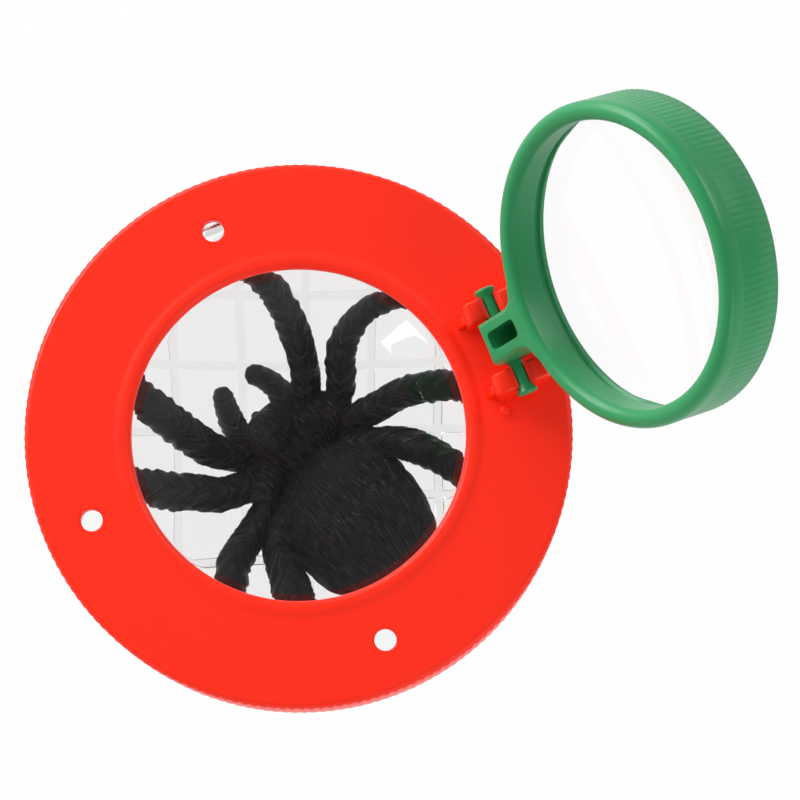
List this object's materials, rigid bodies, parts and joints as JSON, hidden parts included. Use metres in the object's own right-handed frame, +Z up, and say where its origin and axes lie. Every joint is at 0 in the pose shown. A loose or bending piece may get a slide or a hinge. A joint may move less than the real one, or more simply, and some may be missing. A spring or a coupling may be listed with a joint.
{
  "type": "bug viewer pot",
  "caption": "Clear pot with a red screw lid that carries a magnifying lens, air holes and a second lens in a green ring on a snap hinge.",
  "frame": {"origin": "centre of the pot's flat base", "axes": "+Z up along the pot's axis, towards the lid; +X from the axis to the hinge, the pin lies along Y"},
  "size_m": [0.1103, 0.082, 0.1173],
  "materials": {
    "clear_plastic": "clear moulded plastic",
    "red_plastic": "satin moulded plastic",
    "lens_plastic": "polished clear plastic",
    "green_plastic": "satin moulded plastic",
    "black_rubber": "soft rubber with a hair texture"
  },
  "bodies": {
    "pot": {"jar": "clear_plastic"},
    "lens_seat": {"lid_lens": "lens_plastic"},
    "lid": {"lid": "red_plastic"},
    "flip_ring": {"flip_frame": "green_plastic", "flip_lens": "lens_plastic"},
    "spider": {"toy_spider": "black_rubber"}
  },
  "joints": [
    {"name": "lid_rise", "type": "slide", "parent": "pot", "child": "lens_seat", "axis": [0, 0, 1], "range_m": [0, 0.00401]},
    {"name": "lid_turn", "type": "hinge", "parent": "lens_seat", "child": "lid", "pos_m": [0, 0, 0.062], "axis": [0, 0, 1], "range_deg": [0, 360]},
    {"name": "flip", "type": "hinge", "parent": "lid", "child": "flip_ring", "pos_m": [0.0335, 0, 0.0679], "axis": [0, 1, 0], "range_deg": [-124.6, 70]},
    {"name": "spider_lift", "type": "slide", "parent": "pot", "child": "spider", "axis": [0, 0, 1], "range_m": [0, 0.03]}
  ],
  "couplings": [
    {"joint": "lid_rise", "follows": "lid_turn", "m_per_rad": 0.00063662}
  ]
}
